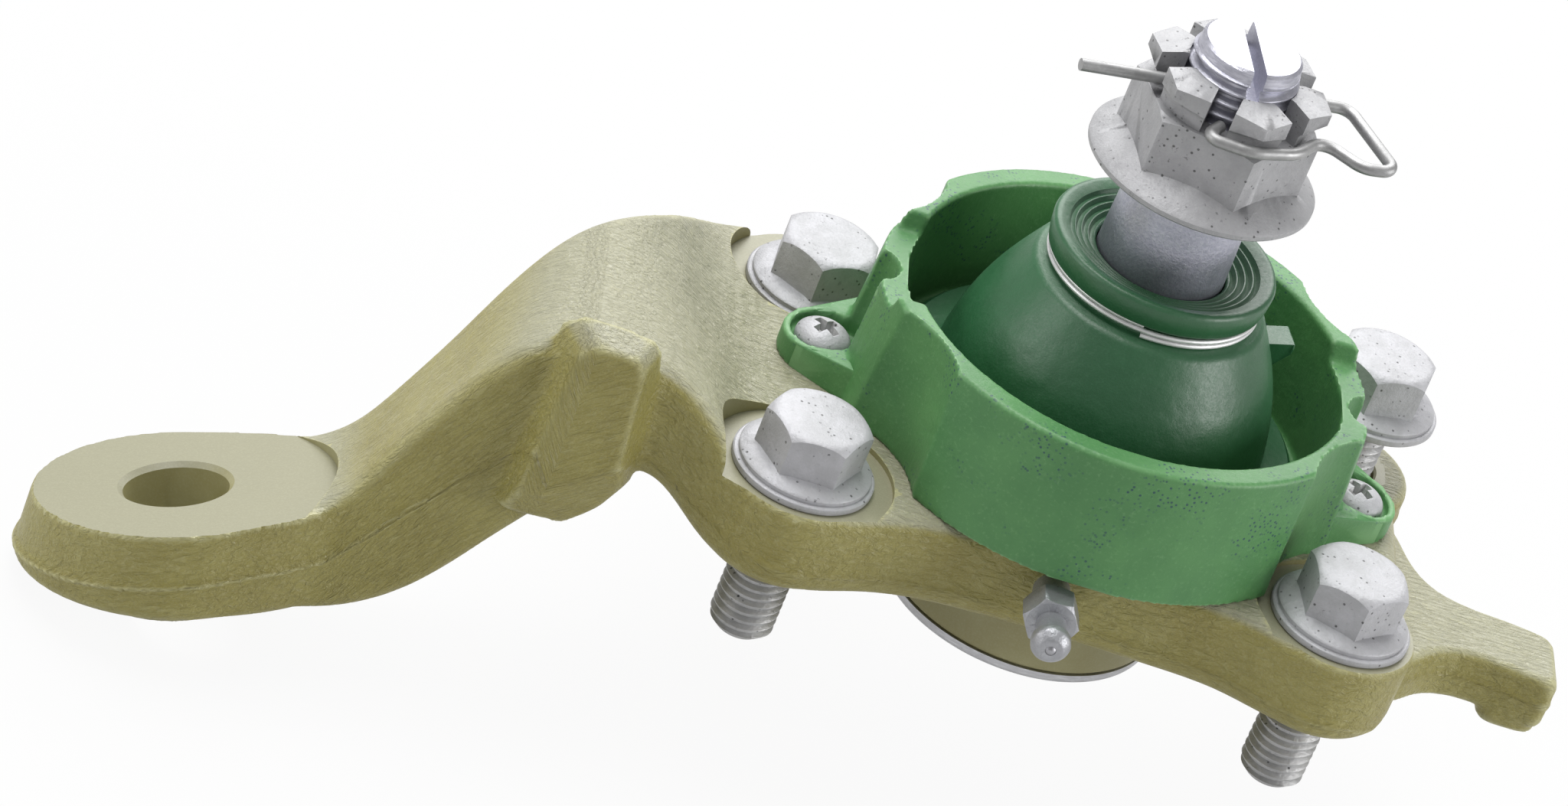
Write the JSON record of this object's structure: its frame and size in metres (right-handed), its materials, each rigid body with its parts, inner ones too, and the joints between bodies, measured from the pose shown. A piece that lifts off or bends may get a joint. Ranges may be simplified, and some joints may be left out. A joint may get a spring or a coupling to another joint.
{
  "type": "suspension ball joint with steering arm",
  "caption": "Forged steering arm with a ball joint: a stud with a castle nut swings in a sealed socket under a rubber boot and a shield ring; flange bolts fix it to the knuckle.",
  "frame": {"origin": "on the axis of the ball stud, in the face that bolts to the knuckle", "axes": "+Z along the stud towards its nut, +X from the steering arm to the stop tab, -Y on the side of the grease fitting"},
  "size_m": [0.2747, 0.1129, 0.1508],
  "materials": {
    "arm_paint": "olive-sand paint over the grain of a forging",
    "shield_plastic": "moulded mid green plastic, satin",
    "boot_rubber": "dark green rubber, satin",
    "stud_steel": "turned steel, satin",
    "nut_coating": "zinc flake coating with dark specks",
    "bolt_coating": "zinc flake coating with dark specks",
    "wire_steel": "drawn wire, grey",
    "wire_zinc": "bright zinc wire",
    "plain_steel": "plain steel",
    "spring_steel": "oiled spring steel",
    "shell_plastic": "bearing plastic",
    "cover_zinc": "zinc plated steel",
    "fitting_zinc": "zinc plated steel, satin"
  },
  "bodies": {
    "housing": {"steering_arm": "arm_paint", "upper_bearing_shell": "shell_plastic", "preload_spring": "spring_steel", "thrust_plate": "plain_steel", "snap_ring": "spring_steel", "end_cover": "cover_zinc", "boot_seat_ring": "plain_steel", "dust_boot": "boot_rubber", "shield_ring": "shield_plastic", "shield_screw_left": "bolt_coating", "shield_screw_right": "bolt_coating", "grease_fitting": "fitting_zinc", "check_spring": "spring_steel"},
    "ball_seat": {"lower_bearing_shell": "shell_plastic"},
    "boot_neck": {"boot_clamp_wire": "wire_zinc"},
    "stud": {"ball_stud": "stud_steel", "castle_nut": "nut_coating", "locking_clip": "wire_steel"},
    "grease_check": {"check_ball": "plain_steel"},
    "bolt_front_left": {"bolt_front_left": "bolt_coating"},
    "bolt_front_right": {"bolt_front_right": "bolt_coating"},
    "bolt_rear_left": {"bolt_rear_left": "bolt_coating"},
    "bolt_rear_right": {"bolt_rear_right": "bolt_coating"}
  },
  "joints": [
    {"name": "swing_direction", "type": "hinge", "parent": "housing", "child": "ball_seat", "pos_m": [0, 0, 0.008], "axis": [0, 0, 1], "continuous": true},
    {"name": "stud_tilt", "type": "hinge", "parent": "ball_seat", "child": "boot_neck", "pos_m": [0, 0, 0.008], "axis": [1, 0, 0], "range_deg": [-18, 18], "deforming": ["dust_boot"]},
    {"name": "stud_spin", "type": "hinge", "parent": "boot_neck", "child": "stud", "pos_m": [0, 0, 0.008], "axis": [0, 0, 1], "continuous": true},
    {"name": "bolt_front_left_out", "type": "slide", "parent": "housing", "child": "bolt_front_left", "axis": [0, 0, 1], "range_m": [0, 0.02]},
    {"name": "bolt_front_right_out", "type": "slide", "parent": "housing", "child": "bolt_front_right", "axis": [0, 0, 1], "range_m": [0, 0.02]},
    {"name": "bolt_rear_left_out", "type": "slide", "parent": "housing", "child": "bolt_rear_left", "axis": [0, 0, 1], "range_m": [0, 0.02]},
    {"name": "bolt_rear_right_out", "type": "slide", "parent": "housing", "child": "bolt_rear_right", "axis": [0, 0, 1], "range_m": [-0.0136, 0.0064]},
    {"name": "check_ball_in", "type": "slide", "parent": "housing", "child": "grease_check", "axis": [0, 1, 0], "range_m": [0, 0.0008], "stiffness_N_per_m": 100, "springref_m": -0.002, "deforming": ["check_spring"]}
  ]
}
